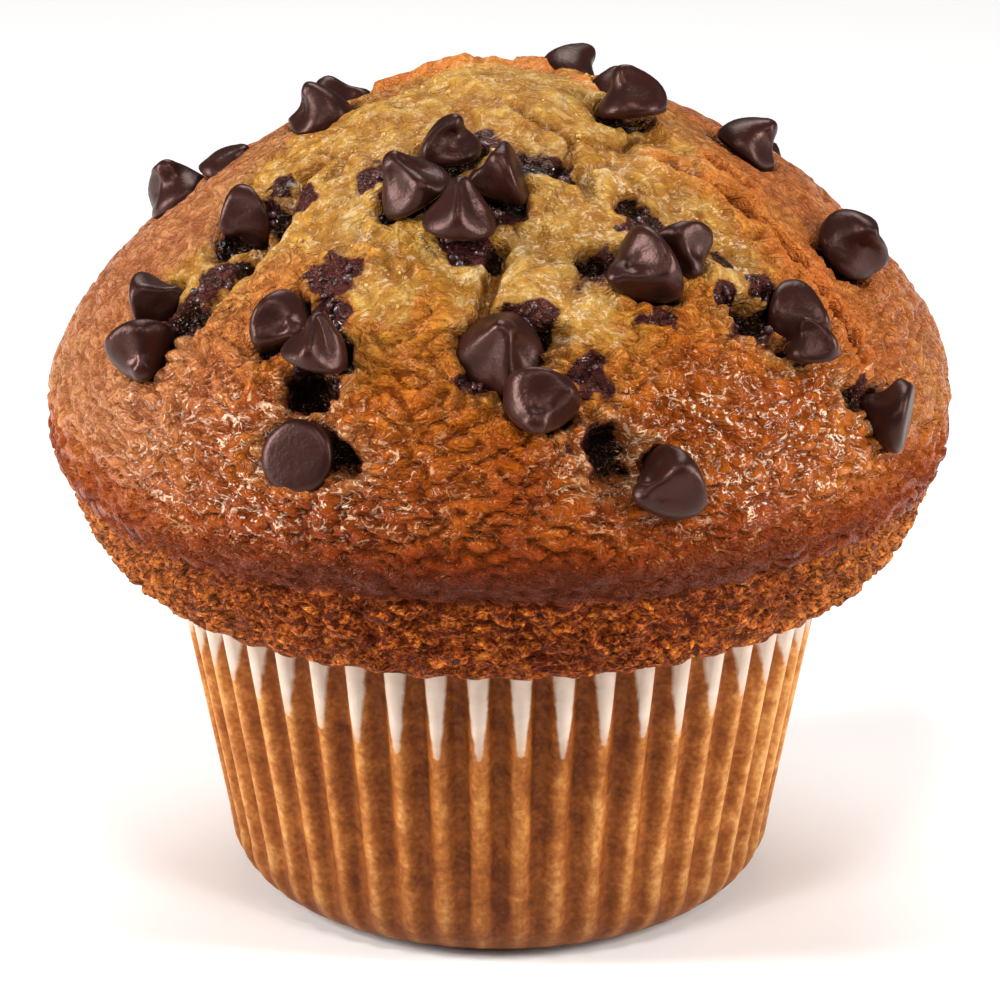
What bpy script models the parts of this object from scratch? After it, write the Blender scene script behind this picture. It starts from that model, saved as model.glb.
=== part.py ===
"""A chocolate chip muffin that stands in its pleated paper case.

Units are metres and +Z is up. The origin is the middle of the case's flat base.
Places on the cake are given as an azimuth, in degrees from -Y towards +X, and a
lift, in degrees up the dome from the rim (0) to the crown (90).
"""
import math
from collections import namedtuple

import bmesh
import bpy
from mathutils import Matrix, Vector, noise

# Air kept between pieces that touch, and the distance at which points are merged.
GAP = 0.0003
MERGE = 0.00001

# The cake's cap: a flattened dome on a rim that curls under to a lip over the case.
CAP_RADIUS = 0.0520
RIM_HEIGHT = 0.0614
DOME_HEIGHT = 0.0356
DOME_ROUNDNESS = 1.7
CROWN_ROUNDNESS = 1.6
LIP_RADIUS = 0.0413
LIP_HEIGHT = 0.0405
CAKE_SIDES = 54
DOME_LIFTS = (7, 14, 21, 28, 35, 42, 49, 56, 63, 70, 77, 84)
UNDERSIDE_DROPS = (66, 44, 28, 14)

# The dark crust ends in a rolled edge, under which the open crumb lies a little deeper.
CRUST_EDGE_HEIGHT = 0.0524
CRUST_EDGE_ROLL = 0.0005
CRUMB_RECESS = 0.0006
EDGE_FADE = 0.003

# The baked surface swells in broad lumps, most of all where the crown has burst.
LUMP_LENGTH = 0.024
LUMP_HEIGHT = 0.0009
CROWN_LUMP_LENGTH = 0.011
CROWN_LUMP_HEIGHT = 0.0008
CROWN_START_LIFT = 38
CROWN_FADE = 0.006
CROWN_NOISE_OFFSET = Vector((7, 3, 1))
CRACK_DEPTH = 0.0016
CRACK_HALF_WIDTH = 0.0036

# The paper case: straight pleated walls, a rounded foot and a flat base.
CASE_TOP_RADIUS = 0.0386
CASE_HEIGHT = 0.0402
CASE_FOOT_RADIUS = 0.0310
CORNER_RADIUS = 0.0079
FOOT_ANGLES = (0, 45, 90)
PLEATS = 48
PLEAT_DEPTH = 0.0020
PAPER = 0.00025
TRUNK_INSET = PAPER + 1.5 * GAP

# A chocolate chip: a drop with a flat base and a tip that hooks over to one side.
CHIP_RADIUS = 0.0042
CHIP_HEIGHT = 0.0063
CHIP_SIDES = 8
CHIP_OUTLINE = ((0.0, 0.88), (0.14, 1.0), (0.38, 0.90), (0.64, 0.64), (0.90, 0.34))
CHIP_HOOK = 0.45
CHIP_MIDDLE = 0.40
POCKET_GAP = 1.3 * GAP

# lean is the tip's angle from straight out of the cake, turn is where the tip points
# (0 up the dome, 90 towards +azimuth), roll is where its hook bends from there, and
# proud is how far the chip's middle stands out of the dome, in millimetres.
Chip = namedtuple("Chip", "azimuth lift proud lean turn roll size")
CHIPS = {
    "crown": (
        Chip(-18, 66, 2.0, 20, -15, 125, 0.86),
        Chip(-22, 57, 2.5, 35, -65, -125, 1.02),
        Chip(-8, 52, 3.5, 30, 10, -55, 0.96),
        Chip(0, 60, 1.6, 110, -95, 160, 0.88),
    ),
    "front": (
        Chip(0, 34, 0.0, 0, 55, -5, 1.14),
        Chip(5, 24, 2.1, 70, -160, -160, 1.00),
    ),
    "bright": (
        Chip(25, 43, 1.7, 105, -105, 160, 1.10),
        Chip(35, 45, 1.2, 95, -165, -155, 0.86),
    ),
    "shoulder": (
        Chip(51, 32, -0.3, 45, 160, 70, 0.96),
        Chip(46, 27, 3.0, 55, 0, -55, 0.74),
    ),
    "low": (
        Chip(58, 11, 0.2, 145, -35, 130, 0.96),
        Chip(20, 9, 0.9, 75, -110, 120, 1.04),
        Chip(-26, 14, -1.8, 175, -10, 85, 1.00),
    ),
    "side": (
        Chip(74, 36, 2.5, -15, 70, 190, 1.00),
        Chip(95, 53, 1.0, 15, 145, 75, 0.88),
    ),
    "top": (
        Chip(147, 69, 0.7, 20, -180, 40, 0.92),
        Chip(111, 71, -0.3, 15, 55, 130, 0.78),
        Chip(78, 70, 1.8, 30, 25, -60, 0.94),
    ),
    "ridge": (
        Chip(-97, 63, 0.7, 10, -10, -170, 0.90),
        Chip(-119, 62, -0.9, 95, -20, 165, 0.96),
        Chip(-100, 40, 0.5, 15, -30, 115, 0.96),
        Chip(-100, 48, -1.0, 60, -15, 30, 0.80),
    ),
    "rift": (
        Chip(-60, 45, 0.9, 65, 180, 10, 0.92),
        Chip(-61, 31, 0.8, 110, 45, -130, 0.84),
        Chip(-56, 23, 1.1, 95, 130, -155, 0.94),
    ),
    "nest": (
        Chip(-34, 34, 0.3, 85, 105, 175, 0.90),
        Chip(-26, 31, 2.5, 55, 15, -105, 0.88),
    ),
    "back": (
        Chip(168, 40, 1.9, 25, 30, 100, 1.00),
        Chip(178, 34, 1.6, 85, -120, 180, 1.04),
        Chip(159, 31, 1.4, 70, 150, 40, 0.96),
        Chip(-149, 27, 1.8, 30, -60, -90, 1.00),
        Chip(-138, 24, 1.4, 95, 100, 170, 1.04),
        Chip(-168, 14, 0.6, 80, -90, 120, 1.00),
        Chip(142, 17, 1.6, 20, 70, 60, 1.00),
        Chip(-128, 9, 0.2, 150, 20, 90, 0.96),
        Chip(137, 30, 1.0, 100, -40, 170, 1.04),
        Chip(-163, 43, 0.9, 35, 120, 0, 1.00),
        Chip(126, 17, 0.8, 60, 30, 90, 1.00),
        Chip(178, 50, -0.3, 95, 60, 180, 0.92),
    ),
}

# Hollows that melted chocolate has left beside the chips: azimuth, lift, radius in mm.
HOLLOWS = ((-27, 25, 3.0), (-20, 14, 2.8), (14, 18, 3.2), (14, 11, 3.0), (42, 35, 3.2), (150, 28, 3.0))

# Cracks in the crown, each a run of (azimuth, lift) points.
CRACKS = (
    ((0, 50), (-3, 43), (-2, 38)),
    ((-58, 22), (-56, 36), (-54, 48), (-46, 56)),
    ((52, 58), (50, 48), (55, 38), (58, 24)),
)


def direction(azimuth):
    """Give the level unit vector that points out of the muffin at an azimuth."""
    angle = math.radians(azimuth)
    return Vector((math.sin(angle), -math.cos(angle), 0.0))


def dome_profile(lift):
    """Give the radius and height of the smooth dome at a lift."""
    angle = math.radians(lift)
    radius = CAP_RADIUS * math.cos(angle) ** (2 / DOME_ROUNDNESS)
    return radius, RIM_HEIGHT + DOME_HEIGHT * math.sin(angle) ** (2 / CROWN_ROUNDNESS)


def underside_profile(drop):
    """Give the radius and height of the curl under the rim, 90 degrees round at the lip."""
    angle = math.radians(drop)
    radius = LIP_RADIUS + (CAP_RADIUS - LIP_RADIUS) * math.cos(angle)
    return radius, RIM_HEIGHT - (RIM_HEIGHT - LIP_HEIGHT) * math.sin(angle)


def dome_point(azimuth, lift):
    """Give the point of the smooth dome at an azimuth and a lift."""
    radius, height = dome_profile(lift)
    return direction(azimuth) * radius + Vector((0.0, 0.0, height))


def dome_axes(azimuth, lift):
    """Give three unit vectors at a place on the dome: outwards, up the dome, and sideways."""
    step = 0.5
    up_dome = (dome_point(azimuth, lift + step) - dome_point(azimuth, lift - step)).normalized()
    sideways = direction(azimuth + 90)
    return sideways.cross(up_dome), up_dome, sideways


def wall_radius(height):
    """Give the outer radius of the case's straight wall at its ridges."""
    return CASE_FOOT_RADIUS + (CASE_TOP_RADIUS - CASE_FOOT_RADIUS) * height / CASE_HEIGHT


def foot_profile(angle, inset):
    """Give the radius and height of the case's rounded foot, 90 degrees where the wall starts."""
    bend = CORNER_RADIUS - inset
    angle = math.radians(angle)
    radius = wall_radius(CORNER_RADIUS) - CORNER_RADIUS + bend * math.sin(angle)
    return radius, CORNER_RADIUS - bend * math.cos(angle)


def pleat_depth(height):
    """Give how deep the pleats are at a height: nothing on the base, and most at the top."""
    return PLEAT_DEPTH * (0.12 + 0.88 * (height / CASE_HEIGHT) ** 0.6) if height > MERGE else 0.0


def trunk_outline():
    """Give the outline of the cake inside the case, clear of the pleats' inner folds."""
    rows = [foot_profile(angle, TRUNK_INSET) for angle in FOOT_ANGLES]
    rows.append((wall_radius(LIP_HEIGHT) - TRUNK_INSET, LIP_HEIGHT))
    return [(0.0, TRUNK_INSET)] + [(radius - pleat_depth(height), height) for radius, height in rows]


def smooth_step(low, high, value):
    """Rise smoothly from 0 to 1 as a value goes from low to high."""
    share = max(0.0, min(1.0, (value - low) / (high - low)))
    return share * share * (3 - 2 * share)


def distance_to_crack(point):
    """Give the distance from a point to the nearest crack."""
    nearest = math.inf
    for crack in CRACKS:
        places = [dome_point(azimuth, lift) for azimuth, lift in crack]
        for start, end in zip(places, places[1:]):
            along = (point - start).dot(end - start) / (end - start).length_squared
            on_crack = start.lerp(end, max(0.0, min(1.0, along)))
            nearest = min(nearest, (point - on_crack).length)
    return nearest


def swell(point):
    """Give how far the baked surface stands out at a point, negative where it sinks in."""
    crown_height = dome_profile(CROWN_START_LIFT)[1]
    on_cap = smooth_step(LIP_HEIGHT, CRUST_EDGE_HEIGHT, point.z)
    on_crown = smooth_step(crown_height - CROWN_FADE, crown_height + CROWN_FADE, point.z)
    under_lip = smooth_step(LIP_HEIGHT, LIP_HEIGHT + EDGE_FADE, point.z)
    below_edge = 1 - smooth_step(CRUST_EDGE_HEIGHT - EDGE_FADE, CRUST_EDGE_HEIGHT, point.z)
    near_edge = 1 - smooth_step(0.0, EDGE_FADE, abs(point.z - CRUST_EDGE_HEIGHT - EDGE_FADE))
    near_crack = 1 - smooth_step(0.0, CRACK_HALF_WIDTH, distance_to_crack(point))
    height = on_cap * LUMP_HEIGHT * noise.noise(point / LUMP_LENGTH)
    height += on_crown * CROWN_LUMP_HEIGHT * noise.noise(point / CROWN_LUMP_LENGTH + CROWN_NOISE_OFFSET)
    height += CRUST_EDGE_ROLL * near_edge - CRUMB_RECESS * below_edge * under_lip
    return height - CRACK_DEPTH * near_crack


def turned(outline, sides):
    """Spin an outline of (radius, height) points around Z into a skin with outward faces."""
    shape = bmesh.new()
    verts = [shape.verts.new((radius, 0.0, height)) for radius, height in outline]
    edges = [shape.edges.new(pair) for pair in zip(verts, verts[1:])]
    bmesh.ops.spin(shape, geom=verts + edges, cent=(0, 0, 0), axis=(0, 0, 1),
                   angle=math.tau, steps=sides, use_merge=True)
    bmesh.ops.remove_doubles(shape, verts=shape.verts, dist=MERGE)
    bmesh.ops.recalc_face_normals(shape, faces=shape.faces)
    return shape


def finish_object(name, shape, collection, material=None, sharp_angle=40):
    """Turn a bmesh into an object of a collection, shaded smooth but for its sharp edges."""
    mesh = bpy.data.meshes.new(name)
    shape.to_mesh(mesh)
    shape.free()
    mesh.shade_smooth()
    mesh.set_sharp_from_angle(angle=math.radians(sharp_angle))
    made = bpy.data.objects.new(name, mesh)
    collection.objects.link(made)
    if material:
        mesh.materials.append(material)
    return made


def make_material(name, color, roughness):
    """Make a Principled material with a plain colour."""
    material = bpy.data.materials.new(name)
    material.use_nodes = True
    shader = material.node_tree.nodes["Principled BSDF"]
    shader.inputs["Base Color"].default_value = (*color, 1.0)
    shader.inputs["Roughness"].default_value = roughness
    shader.inputs["Metallic"].default_value = 0.0
    return material


def make_cake(collection, material):
    """Make the cake: a trunk that fills the case, a curled lip and an uneven dome."""
    outline = trunk_outline()
    outline += [(LIP_RADIUS, LIP_HEIGHT)]
    outline += [underside_profile(drop) for drop in UNDERSIDE_DROPS]
    outline += [dome_profile(lift) for lift in (0,) + DOME_LIFTS]
    outline += [(0.0, RIM_HEIGHT + DOME_HEIGHT)]
    shape = turned(outline, CAKE_SIDES)
    shape.normal_update()
    moves = [(vert, vert.normal * swell(vert.co)) for vert in shape.verts if vert.co.z > LIP_HEIGHT]
    for vert, move in moves:
        vert.co += move
    return finish_object("crumb", shape, collection, material)


def make_case(collection, material):
    """Make the paper case: an open pleated cup that Solidify gives its thickness."""
    outline = [(0.0, 0.0)] + [foot_profile(angle, 0.0) for angle in FOOT_ANGLES]
    outline.append((CASE_TOP_RADIUS, CASE_HEIGHT))
    shape = turned(outline, 2 * PLEATS)
    for vert in shape.verts:
        level = Vector((vert.co.x, vert.co.y))
        if vert.co.z > 0 and level.length > 0:
            # A valley faces -Y, and a ridge stands half a pleat to each side of it.
            phase = PLEATS * math.atan2(level.x, -level.y)
            fold = pleat_depth(vert.co.z) * (1 + math.cos(phase)) / 2
            level *= 1 - fold / level.length
            vert.co.x, vert.co.y = level
    case = finish_object("paper_case", shape, collection, material)
    wall = case.modifiers.new("Paper thickness", "SOLIDIFY")
    wall.thickness = PAPER
    wall.offset = -1.0
    wall.use_even_offset = True
    return case


def chip_shape(size, grow):
    """Make a chip that stands on the origin with its hook towards +X, grown all round."""
    radius = CHIP_RADIUS * size
    height = CHIP_HEIGHT * size
    outline = [(0.0, -grow)]
    for share, width in CHIP_OUTLINE:
        outline.append((radius * width + grow, height * share - grow * (1 - 2 * share)))
    outline.append((0.0, height + grow))
    shape = turned(outline, CHIP_SIDES)
    for vert in shape.verts:
        share = max(0.0, vert.co.z / height)
        vert.co.x += CHIP_HOOK * radius * share ** 3
    return shape


def chip_matrix(chip):
    """Give the matrix that stands a chip in its place on the dome."""
    outward, up_dome, sideways = dome_axes(chip.azimuth, chip.lift)
    lean, turn, roll = (math.radians(angle) for angle in (chip.lean, chip.turn, chip.roll))
    heading = up_dome * math.cos(turn) + sideways * math.sin(turn)
    across = sideways * math.cos(turn) - up_dome * math.sin(turn)
    tip = outward * math.cos(lean) + heading * math.sin(lean)
    ahead = heading * math.cos(lean) - outward * math.sin(lean)
    hook = ahead * math.cos(roll) + across * math.sin(roll)
    turned_axes = Matrix((hook, tip.cross(hook), tip)).transposed().to_4x4()
    middle = dome_point(chip.azimuth, chip.lift) + outward * chip.proud * 0.001
    drop = Matrix.Translation((0, 0, -CHIP_MIDDLE * CHIP_HEIGHT * chip.size))
    return Matrix.Translation(middle) @ turned_axes @ drop


def make_chips(collection, cutters, material):
    """Make every chip, and a slightly larger cutter for its pocket in the cake."""
    for cluster, chips in CHIPS.items():
        for number, chip in enumerate(chips, start=1):
            name = f"chip_{cluster}_{number}"
            place = chip_matrix(chip)
            made = finish_object(name, chip_shape(chip.size, 0.0), collection, material)
            made.matrix_world = place
            pocket = finish_object(f"pocket_{cluster}_{number}", chip_shape(chip.size, POCKET_GAP), cutters)
            pocket.matrix_world = place
            hide_cutter(pocket)


def make_hollows(cutters):
    """Make the round cutters for the hollows that melted chocolate has left."""
    for number, (azimuth, lift, radius) in enumerate(HOLLOWS, start=1):
        shape = bmesh.new()
        bmesh.ops.create_icosphere(shape, subdivisions=1, radius=radius * 0.001)
        hollow = finish_object(f"hollow_{number}", shape, cutters)
        hollow.location = dome_point(azimuth, lift)
        hide_cutter(hollow)


def hide_cutter(cutter):
    """Show a cutter as wire only, and keep it out of the model."""
    cutter.hide_render = True
    cutter.display_type = "WIRE"


def cut_pockets(cake, cutters):
    """Cut every pocket and hollow out of the cake."""
    cut = cake.modifiers.new("Pockets", "BOOLEAN")
    cut.operation = "DIFFERENCE"
    cut.operand_type = "COLLECTION"
    cut.collection = cutters
    cut.solver = "EXACT"


def new_collection(name):
    """Add a collection to the scene."""
    collection = bpy.data.collections.new(name)
    bpy.context.scene.collection.children.link(collection)
    return collection


def main():
    """Build the muffin in an empty scene."""
    for item in list(bpy.data.objects):
        bpy.data.objects.remove(item, do_unlink=True)
    parts = new_collection("muffin")
    cutters = new_collection("cutters")
    crust = make_material("baked crust", (0.40, 0.15, 0.04), 0.45)
    paper = make_material("greaseproof paper", (0.42, 0.20, 0.07), 0.6)
    chocolate = make_material("dark chocolate", (0.05, 0.02, 0.015), 0.35)
    cake = make_cake(parts, crust)
    make_case(parts, paper)
    make_chips(parts, cutters, chocolate)
    make_hollows(cutters)
    cut_pockets(cake, cutters)


main()
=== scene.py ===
# %% [markdown]
# # A chocolate chip muffin in a pleated paper case
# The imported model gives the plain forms: one solid of cake, the paper case and each chocolate chip. Here
# each gets its real surface. The crust is torn open on top and wrinkled round the sides, the chips are soft
# drops with bent tips, and the paper is stained by what was baked in it.

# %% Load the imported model
import math
import random

import bmesh
import bpy
import numpy as np
from mathutils import Matrix, Vector, noise


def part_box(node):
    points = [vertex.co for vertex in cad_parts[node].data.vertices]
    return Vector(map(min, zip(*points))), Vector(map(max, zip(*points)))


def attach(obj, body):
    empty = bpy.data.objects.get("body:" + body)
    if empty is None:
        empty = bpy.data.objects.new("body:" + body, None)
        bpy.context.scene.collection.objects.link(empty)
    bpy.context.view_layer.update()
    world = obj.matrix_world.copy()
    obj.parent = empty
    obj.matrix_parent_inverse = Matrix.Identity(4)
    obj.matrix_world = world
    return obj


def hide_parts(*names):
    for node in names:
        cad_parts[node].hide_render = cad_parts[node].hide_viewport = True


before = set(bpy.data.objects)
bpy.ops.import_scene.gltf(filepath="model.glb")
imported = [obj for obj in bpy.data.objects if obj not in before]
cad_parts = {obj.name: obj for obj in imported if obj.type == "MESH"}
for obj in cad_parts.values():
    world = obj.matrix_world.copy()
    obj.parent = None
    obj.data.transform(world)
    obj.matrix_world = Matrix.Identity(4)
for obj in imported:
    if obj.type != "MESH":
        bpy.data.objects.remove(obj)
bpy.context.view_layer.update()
chip_nodes = sorted(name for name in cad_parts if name.startswith("chip_"))
case_low, case_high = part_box("paper_case")
cake_low, cake_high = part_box("crumb")
print("case from", case_low, "to", case_high, "and cake from", cake_low, "to", cake_high)

# %% [markdown]
# ## Camera and light
# The muffin is looked at from a little above, through a long lens, so its sides hardly converge. Two tall
# soft lights stand at the sides and leave pale glints on the shoulders of the crust. Two small ones put
# sparkle on the wrinkles and the chips, one hangs over the crown, and a broad one behind parts the muffin
# from its background.

# %% Camera
MM = 0.001
VIEW_HEIGHT = math.radians(20)
VIEW_DISTANCE = 0.600
VIEW_AIM = Vector((0.0, 0.0, 0.046))


def add_object(name, data):
    """Put data in the scene as an object at the origin."""
    thing = bpy.data.objects.new(name, data)
    bpy.context.collection.objects.link(thing)
    return thing


camera_data = bpy.data.cameras.new("camera")
camera_data.lens = 183
camera_data.sensor_width = 36
camera_data.clip_start = 0.01
camera = add_object("camera", camera_data)
camera.location = VIEW_AIM + VIEW_DISTANCE * Vector((0.0, -math.cos(VIEW_HEIGHT), math.sin(VIEW_HEIGHT)))
camera.rotation_euler = (math.pi / 2 - VIEW_HEIGHT, 0.0, 0.0)
bpy.context.scene.camera = camera
print("camera at", tuple(round(v, 3) for v in camera.location))

# %% Soft lights
# For each light: azimuth and height in degrees, distance, width and tallness in metres, power in watts.
LIGHTS = {
    "left_light": (-79, 20, 0.62, 0.11, 0.34, 4.5),
    "right_light": (74, 20, 0.62, 0.11, 0.34, 3.6),
    "top_light": (0, 58, 0.70, 0.10, 0.10, 1.3),
    "left_sparkle": (-34, 40, 0.60, 0.05, 0.05, 0.50),
    "right_sparkle": (32, 40, 0.60, 0.05, 0.05, 0.45),
    "back_light": (180, 60, 0.85, 0.45, 0.45, 4.2),
}
ROOM_LIGHT = 0.06


def direction(azimuth, height=0.0):
    """The unit vector at an azimuth, where 0 is the front and 90 the right side, and a height above level."""
    turn, rise = math.radians(azimuth), math.radians(height)
    return Vector((math.sin(turn) * math.cos(rise), -math.cos(turn) * math.cos(rise), math.sin(rise)))


def soft_light(name, azimuth, height, distance, width, tall, power):
    """A soft light, this wide and tall, that faces the middle of the muffin."""
    data = bpy.data.lights.new(name, "AREA")
    data.shape, data.size, data.size_y, data.energy = "RECTANGLE", width, tall, power
    light = add_object(name, data)
    light.location = VIEW_AIM + distance * direction(azimuth, height)
    light.rotation_euler = direction(azimuth, height).to_track_quat("Z", "Y").to_euler()


for name, values in LIGHTS.items():
    soft_light(name, *values)

world = bpy.data.worlds.new("studio")
world.use_nodes = True
room = world.node_tree.nodes["Background"]
room.inputs["Color"].default_value = (1.0, 1.0, 1.0, 1.0)
room.inputs["Strength"].default_value = ROOM_LIGHT
bpy.context.scene.world = world
bpy.context.scene.view_settings.view_transform = "Standard"
print(len(LIGHTS), "soft lights and a white room")

# %% [markdown]
# ## Helpers for materials
# A material is a tree of nodes. One small function adds a node, sets its values and links what feeds it. A
# socket knows its tree, so sums on sockets read like sums on numbers. Colours are written as they look on a
# screen, from 0 to 255, and turned into the linear values that the renderer works in.

# %% Nodes and colours
def paint(red, green, blue):
    """A screen colour as the linear colour that a shader takes."""
    def linear(value):
        share = value / 255
        return share / 12.92 if share <= 0.04045 else ((share + 0.055) / 1.055) ** 2.4
    return (linear(red), linear(green), linear(blue), 1.0)


def feed(node, *inputs):
    """Set or link a node's inputs. Each is given as (name or number, value or socket)."""
    for name, value in inputs:
        if isinstance(value, bpy.types.NodeSocket):
            node.id_data.links.new(value, node.inputs[name])
        else:
            node.inputs[name].default_value = value


def add(tree, kind, *inputs, **settings):
    """Add a node with its inputs and its settings."""
    node = tree.nodes.new(kind)
    for name, value in settings.items():
        setattr(node, name, value)
    feed(node, *inputs)
    return node


def tree_of(*values):
    """The node tree that holds the first socket among these values."""
    return next(value.id_data for value in values if isinstance(value, bpy.types.NodeSocket))


def new_material(name):
    """An empty material with a Principled shader, and the place that every pattern is measured from."""
    material = bpy.data.materials.new(name)
    material.use_nodes = True
    tree = material.node_tree
    shader = tree.nodes["Principled BSDF"]
    place = add(tree, "ShaderNodeTexCoord").outputs["Object"]
    return material, tree, shader, place


print("white paint is", paint(255, 255, 255))


# %% Sums on sockets
def calc(operation, first, second=0.0):
    """The result of one sum on two values."""
    tree = tree_of(first, second)
    return add(tree, "ShaderNodeMath", (0, first), (1, second), operation=operation).outputs[0]


def plus(first, *others):
    """All the values added up."""
    for other in others:
        first = calc("ADD", first, other)
    return first


def times(first, *others):
    """All the values multiplied."""
    for other in others:
        first = calc("MULTIPLY", first, other)
    return first


def minus(first, second):
    """The first value less the second."""
    return calc("SUBTRACT", first, second)


def swing(value, reach):
    """Noise as a swing of this reach, half of it above nothing and half below."""
    return times(minus(value, 0.5), reach)


def remap(value, low, high, out_low=0.0, out_high=1.0):
    """Stretch a value from one range to another, and hold it there."""
    inputs = (("Value", value), ("From Min", low), ("From Max", high),
              ("To Min", out_low), ("To Max", out_high))
    return add(value.id_data, "ShaderNodeMapRange", *inputs, clamp=True).outputs["Result"]


def mix(share, first, second):
    """Mix two colours, each a socket or a screen colour."""
    tree = tree_of(share, first, second)
    first, second = (paint(*value) if isinstance(value, tuple) else value for value in (first, second))
    return add(tree, "ShaderNodeMix", (0, share), (6, first), (7, second), data_type="RGBA").outputs[2]


def between(share, start, end):
    """A value that goes from start to end as a share goes from 0 to 1."""
    return remap(share, 0.0, 1.0, start, end)


def ramp(value, *stops):
    """Turn a value into a colour, by stops of (value, red, green, blue)."""
    node = add(value.id_data, "ShaderNodeValToRGB", ("Fac", value))
    band = node.color_ramp.elements
    while len(band) < len(stops):
        band.new(0.5)
    for element, stop in zip(band, stops):
        element.position = stop[0]
    for element, stop in zip(band, stops):
        element.color = paint(*stop[1:])
    return node.outputs["Color"]


print("sums ready")


# %% Patterns
def grain(vector, length, detail=2.0, warp=0.0, roughness=0.5):
    """Noise from 0 to 1, in lumps of about this length in metres."""
    inputs = (("Vector", vector), ("Scale", 1 / length), ("Detail", detail), ("Roughness", roughness),
              ("Distortion", warp))
    return add(vector.id_data, "ShaderNodeTexNoise", *inputs).outputs["Fac"]


def stretched(vector, x, y, z, drop=0.0):
    """Squeeze a pattern along each axis, so that its marks lie flat or stand up, and drop it by a length."""
    inputs = (("Vector", vector), ("Scale", (x, y, z)), ("Location", (0.0, 0.0, drop * z)))
    return add(vector.id_data, "ShaderNodeMapping", *inputs).outputs["Vector"]


def bump(height, strength, distance):
    """The normals of a surface that a pattern raises by up to this distance in metres."""
    inputs = (("Height", height), ("Strength", strength), ("Distance", distance))
    return add(height.id_data, "ShaderNodeBump", *inputs).outputs["Normal"]


def crackle_group():
    """A shader group for the fine cracks of a baked skin: 0 in a crack and 1 on the skin between cracks."""
    group = bpy.data.node_groups.new("crackle", "ShaderNodeTree")
    sockets = (("Vector", "NodeSocketVector"), ("Scale", "NodeSocketFloat"), ("Warp", "NodeSocketFloat"))
    for title, kind in sockets:
        group.interface.new_socket(name=title, in_out="INPUT", socket_type=kind)
    group.interface.new_socket(name="Value", in_out="OUTPUT", socket_type="NodeSocketFloat")
    given = add(group, "NodeGroupInput").outputs
    result = add(group, "NodeGroupOutput")
    lumps = add(group, "ShaderNodeTexNoise", ("Vector", given["Vector"]), ("Scale", given["Scale"]),
                ("Distortion", given["Warp"]), ("Detail", 2.0))
    gap = calc("ABSOLUTE", minus(lumps.outputs["Fac"], 0.5))
    feed(result, ("Value", remap(gap, 0.0, 0.17)))
    return group


def crackle(vector, length, warp=1.0):
    """Fine cracks, in skin plates of about this length in metres."""
    inputs = (("Vector", vector), ("Scale", 1 / length), ("Warp", warp))
    return add(vector.id_data, "ShaderNodeGroup", *inputs, node_tree=crackle_form).outputs["Value"]


crackle_form = crackle_group()
print("patterns ready:", crackle_form.name, "has", len(crackle_form.nodes), "nodes")

# %% [markdown]
# ## Floor
# A plain pale table. It isn't part of the object.

# %% Floor
def keep_mesh(shape, name):
    """Turn a bmesh into a mesh, and free it."""
    mesh = bpy.data.meshes.new(name)
    shape.to_mesh(mesh)
    shape.free()
    return mesh


floor_form = bmesh.new()
bmesh.ops.create_grid(floor_form, x_segments=2, y_segments=2, size=2.0)
floor = add_object("floor", keep_mesh(floor_form, "floor"))
floor.location.z = case_low[2]
floor_finish, tree, shader, place = new_material("table")
feed(shader, ("Base Color", paint(250, 249, 247)), ("Roughness", 0.75))
floor.data.materials.append(floor_finish)
print("floor at", round(floor.location.z, 4))

# %% [markdown]
# ## The outline of the cake
# Batter rises out of its case and spreads over the edge. So the outline has three parts: a low dome, a
# short underside that curls back to the lip of the case, and a tapered foot inside the paper. The values
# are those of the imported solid.

# %% Sizes of the cake and its case
CAP_RADIUS, RIM_HEIGHT, DOME_HEIGHT = 0.0520, 0.0614, 0.0356
DOME_ROUNDNESS, CROWN_ROUNDNESS = 1.7, 1.6
LIP_RADIUS, LIP_HEIGHT = 0.0413, 0.0405
CRUST_EDGE_HEIGHT = 0.0524
CASE_TOP_RADIUS, CASE_FOOT_RADIUS, CASE_HEIGHT = 0.0386, 0.0310, 0.0402
CORNER_RADIUS = 0.0079
PLEATS, PLEAT_DEPTH, PAPER = 48, 0.0020, 0.00025
FOOT_GAP = 0.0007

# The share of faces that a row of the outline gets, where a row of the dome gets 1.
UNDERSIDE_SHARE, WALL_SHARE, CORNER_SHARE, BASE_SHARE = 0.85, 0.12, 0.10, 0.05


def wall_radius(height):
    """The outer radius of the case at a height."""
    return CASE_FOOT_RADIUS + (CASE_TOP_RADIUS - CASE_FOOT_RADIUS) * height / CASE_HEIGHT


def pleat_depth(height):
    """How deep the pleats are at a height."""
    return PLEAT_DEPTH * (0.12 + 0.88 * (np.maximum(height, 0.0) / CASE_HEIGHT) ** 0.6)


def dome_row(lift):
    """The radius and the height of the plain dome at a lift in degrees."""
    rise = math.radians(lift)
    return (CAP_RADIUS * math.cos(rise) ** (2 / DOME_ROUNDNESS),
            RIM_HEIGHT + DOME_HEIGHT * math.sin(rise) ** (2 / CROWN_ROUNDNESS))


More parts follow.
